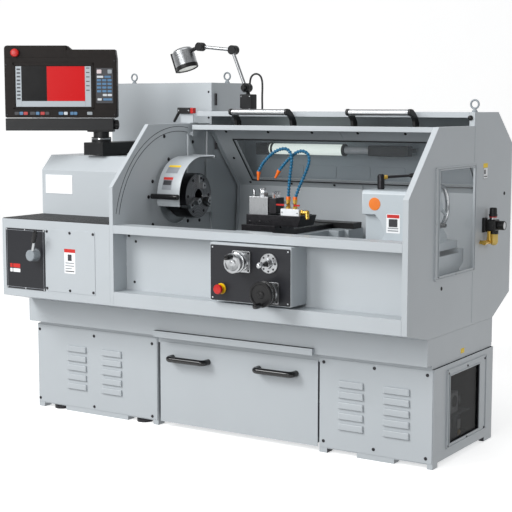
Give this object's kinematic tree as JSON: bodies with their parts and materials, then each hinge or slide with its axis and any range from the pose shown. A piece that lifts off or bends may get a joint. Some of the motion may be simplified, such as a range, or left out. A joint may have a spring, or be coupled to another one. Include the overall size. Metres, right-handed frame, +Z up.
{
  "type": "cnc turning lathe",
  "caption": "Flat-bed CNC turning lathe with louvred base cabinets, roll-over front door, swinging control pendant and tailstock.",
  "frame": {"origin": "on the floor, under the middle of the machine's outline", "axes": "+X along the spindle towards the tailstock, +Y to the rear, +Z up"},
  "size_m": [2.2133, 1.2202, 1.712],
  "materials": {
    "machine_paint": "satin light blue-grey paint on sheet steel",
    "cast_iron_paint": "ground grey cast iron",
    "black_enamel": "satin black enamel",
    "rubber": "ribbed matt rubber",
    "label_metal": "anodised plates",
    "clear_glass": "clear safety glass",
    "black_plastic": "moulded black plastic",
    "ground_steel": "ground steel",
    "guard_grey": "satin paint on sheet steel",
    "chrome_plate": "polished chrome",
    "white_manifold": "white enamel",
    "hose_blue": "segmented plastic hose",
    "signal_red": "moulded red plastic"
  },
  "bodies": {
    "machine": {"left_cabinet": "machine_paint", "right_cabinet": "machine_paint", "louvre_panels": "machine_paint", "levelling_feet": "rubber", "chip_tray": "machine_paint", "bed": "cast_iron_paint", "headstock": "cast_iron_paint", "gearbox_case": "machine_paint", "top_mat": "rubber", "blank_plates": "label_metal", "headstock_cover": "machine_paint", "electrical_cabinet": "machine_paint", "left_end_wall": "machine_paint", "right_end_panel": "machine_paint", "window_panes": "clear_glass", "front_frame": "machine_paint", "rear_guard": "machine_paint", "tube_lamp": "clear_glass", "control_box": "machine_paint", "control_plate": "black_enamel", "pendant_bracket": "machine_paint", "lamp_base": "machine_paint", "lamp_lead": "black_plastic", "lifting_eyebolts": "ground_steel", "lubricator": "black_enamel", "air_regulator": "black_enamel", "interlock_switch": "ground_steel"},
    "door": {"door_shell": "machine_paint", "door_window": "clear_glass", "door_handles": "black_plastic"},
    "chip_drawer": {"drawer": "machine_paint"},
    "spindle_unit": {"spindle": "ground_steel", "chuck_body": "ground_steel"},
    "jaw_1": {"chuck_jaw_1": "ground_steel"},
    "jaw_2": {"chuck_jaw_2": "ground_steel"},
    "jaw_3": {"chuck_jaw_3": "ground_steel"},
    "guard": {"chuck_guard": "guard_grey"},
    "saddle_unit": {"saddle": "cast_iron_paint"},
    "cross_slide_unit": {"cross_slide": "black_enamel", "tool_post": "ground_steel", "coolant_manifold": "white_manifold", "coolant_hoses": "hose_blue"},
    "valve_1": {"valve_lever_1": "signal_red"},
    "valve_2": {"valve_lever_2": "signal_red"},
    "tailstock": {"tailstock_body": "machine_paint"},
    "quill": {"tailstock_quill": "ground_steel"},
    "tail_wheel": {"tailstock_wheel": "chrome_plate"},
    "tail_clamp": {"tailstock_clamp_lever": "black_plastic"},
    "z_wheel": {"z_handwheel": "black_plastic"},
    "x_wheel": {"x_handwheel": "black_plastic"},
    "jog": {"jog_lever": "black_plastic"},
    "panel_stop": {"panel_stop_button": "signal_red"},
    "pendant_stop": {"pendant_stop_button": "signal_red"},
    "speed_selector": {"speed_lever": "black_plastic"},
    "arm": {"pendant_arm": "black_enamel"},
    "pendant_unit": {"pendant": "black_plastic"},
    "lamp_lower": {"lamp_lower_arm": "black_enamel"},
    "lamp_upper": {"lamp_upper_arm": "black_enamel"},
    "lamp_shade": {"lamp_head": "black_enamel"},
    "knob": {"regulator_knob": "black_plastic"}
  },
  "joints": [
    {"name": "front_door", "type": "hinge", "parent": "machine", "child": "door", "pos_m": [0.32565, 0.02515, 0.862], "axis": [1, 0, 0], "range_deg": [0, 95]},
    {"name": "drawer_slide", "type": "slide", "parent": "machine", "child": "chip_drawer", "axis": [0, -1, 0], "range_m": [0, 0.45]},
    {"name": "spindle_turn", "type": "hinge", "parent": "machine", "child": "spindle_unit", "pos_m": [-0.40235, 0.00915, 1.015], "axis": [1, 0, 0], "continuous": true},
    {"name": "jaw_1_slide", "type": "slide", "parent": "spindle_unit", "child": "jaw_1", "axis": [0, 0, 1], "range_m": [-0.012, 0.008]},
    {"name": "jaw_2_slide", "type": "slide", "parent": "spindle_unit", "child": "jaw_2", "axis": [0, -0.866, -0.5], "range_m": [-0.012, 0.008]},
    {"name": "jaw_3_slide", "type": "slide", "parent": "spindle_unit", "child": "jaw_3", "axis": [0, 0.866, -0.5], "range_m": [-0.012, 0.008]},
    {"name": "guard_hinge", "type": "hinge", "parent": "machine", "child": "guard", "pos_m": [-0.27735, 0.10915, 1.186], "axis": [1, 0, 0], "range_deg": [-38, 0]},
    {"name": "saddle_slide", "type": "slide", "parent": "machine", "child": "saddle_unit", "axis": [1, 0, 0], "range_m": [-0.3, 0.08]},
    {"name": "cross_slide_slide", "type": "slide", "parent": "saddle_unit", "child": "cross_slide_unit", "axis": [0, 1, 0], "range_m": [-0.02, 0.065]},
    {"name": "valve_1_turn", "type": "hinge", "parent": "cross_slide_unit", "child": "valve_1", "pos_m": [0.32065, -0.15515, 1.006], "axis": [0, 1, 0], "range_deg": [0, 90]},
    {"name": "valve_2_turn", "type": "hinge", "parent": "cross_slide_unit", "child": "valve_2", "pos_m": [0.35365, -0.15515, 1.006], "axis": [0, 1, 0], "range_deg": [-90, 0]},
    {"name": "tailstock_slide", "type": "slide", "parent": "machine", "child": "tailstock", "axis": [1, 0, 0], "range_m": [-0.1, 0.02]},
    {"name": "quill_slide", "type": "slide", "parent": "tailstock", "child": "quill", "axis": [-1, 0, 0], "range_m": [0, 0.1]},
    {"name": "tail_wheel_turn", "type": "hinge", "parent": "tailstock", "child": "tail_wheel", "pos_m": [0.93865, 0.00915, 1.015], "axis": [1, 0, 0], "range_deg": [0, 7200]},
    {"name": "tail_clamp_turn", "type": "hinge", "parent": "tailstock", "child": "tail_clamp", "pos_m": [0.67765, 0.00915, 1.075], "axis": [0, 0, 1], "range_deg": [-45, 60]},
    {"name": "z_wheel_turn", "type": "hinge", "parent": "machine", "child": "z_wheel", "pos_m": [0.31465, -0.51985, 0.803], "axis": [0, 1, 0], "continuous": true},
    {"name": "x_wheel_turn", "type": "hinge", "parent": "machine", "child": "x_wheel", "pos_m": [0.44665, -0.51985, 0.688], "axis": [0, 1, 0], "continuous": true},
    {"name": "jog_tilt", "type": "hinge", "parent": "machine", "child": "jog", "pos_m": [0.44165, -0.48985, 0.803], "axis": [1, 0, 0], "range_deg": [-10, 10], "stiffness_Nm_per_rad": 0.5},
    {"name": "panel_stop_press", "type": "slide", "parent": "machine", "child": "panel_stop", "axis": [0, 1, 0], "range_m": [0, 0.004], "stiffness_N_per_m": 800},
    {"name": "pendant_stop_press", "type": "slide", "parent": "pendant_unit", "child": "pendant_stop", "axis": [-0.5373, 0.8434, 0], "range_m": [0, 0.004], "stiffness_N_per_m": 800},
    {"name": "speed_lever_turn", "type": "hinge", "parent": "machine", "child": "speed_selector", "pos_m": [-0.79735, -0.47785, 0.757], "axis": [0, 1, 0], "range_deg": [-60, 45]},
    {"name": "arm_swing", "type": "hinge", "parent": "machine", "child": "arm", "pos_m": [-0.72235, -0.07685, 1.28], "axis": [0, 0, 1], "range_deg": [-32, 57]},
    {"name": "pendant_tilt", "type": "hinge", "parent": "arm", "child": "pendant_unit", "pos_m": [-0.74062, -0.04818, 1.359], "axis": [0.8434, 0.5373, 0], "range_deg": [-20, 0]},
    {"name": "lamp_base_turn", "type": "hinge", "parent": "machine", "child": "lamp_lower", "pos_m": [-0.17335, 0.31115, 1.498], "axis": [0, 1, 0], "range_deg": [0, 45]},
    {"name": "lamp_elbow_turn", "type": "hinge", "parent": "lamp_lower", "child": "lamp_upper", "pos_m": [-0.24735, 0.31115, 1.672], "axis": [0, 1, 0], "range_deg": [0, 60]},
    {"name": "lamp_head_turn", "type": "hinge", "parent": "lamp_upper", "child": "lamp_shade", "pos_m": [-0.43335, 0.31115, 1.691], "axis": [0, 1, 0], "range_deg": [-20, 30]},
    {"name": "knob_turn", "type": "hinge", "parent": "machine", "child": "knob", "pos_m": [1.05465, 0.29315, 0.984], "axis": [0, 0, 1], "range_deg": [0, 300]}
  ],
  "couplings": [
    {"joint": "jaw_2_slide", "follows": "jaw_1_slide", "ratio": 1},
    {"joint": "jaw_3_slide", "follows": "jaw_1_slide", "ratio": 1},
    {"joint": "tail_wheel_turn", "follows": "quill_slide", "rad_per_m": 1256.6}
  ]
}
